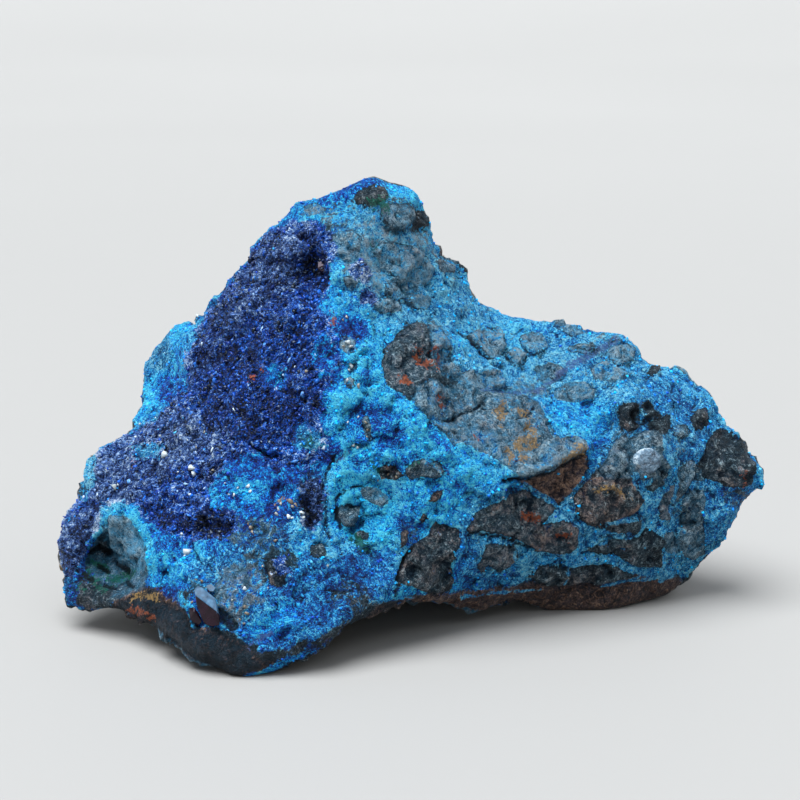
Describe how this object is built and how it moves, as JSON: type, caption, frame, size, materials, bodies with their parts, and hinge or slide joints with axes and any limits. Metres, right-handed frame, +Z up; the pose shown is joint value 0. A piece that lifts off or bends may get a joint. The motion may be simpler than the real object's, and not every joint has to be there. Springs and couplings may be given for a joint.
{
  "type": "azurite specimen",
  "caption": "Rough natural lump of azurite crystals and copper-blue veins in dark host rock, with a peaked left mass, a tapering right arm and worn feet to rest on.",
  "frame": {"origin": "middle of the lump's footprint box, at the height of the surface it stands on", "axes": "+X along the length towards the tapering arm's tip, -Y towards the crystal-covered front with the foot, +Z up"},
  "size_m": [0.102, 0.0638, 0.0621],
  "materials": {
    "azurite_rock": "rough broken rock with velvety and sparkling blue azurite crystal crusts"
  },
  "bodies": {
    "root": {"azurite_specimen": "azurite_rock"}
  },
  "joints": []
}
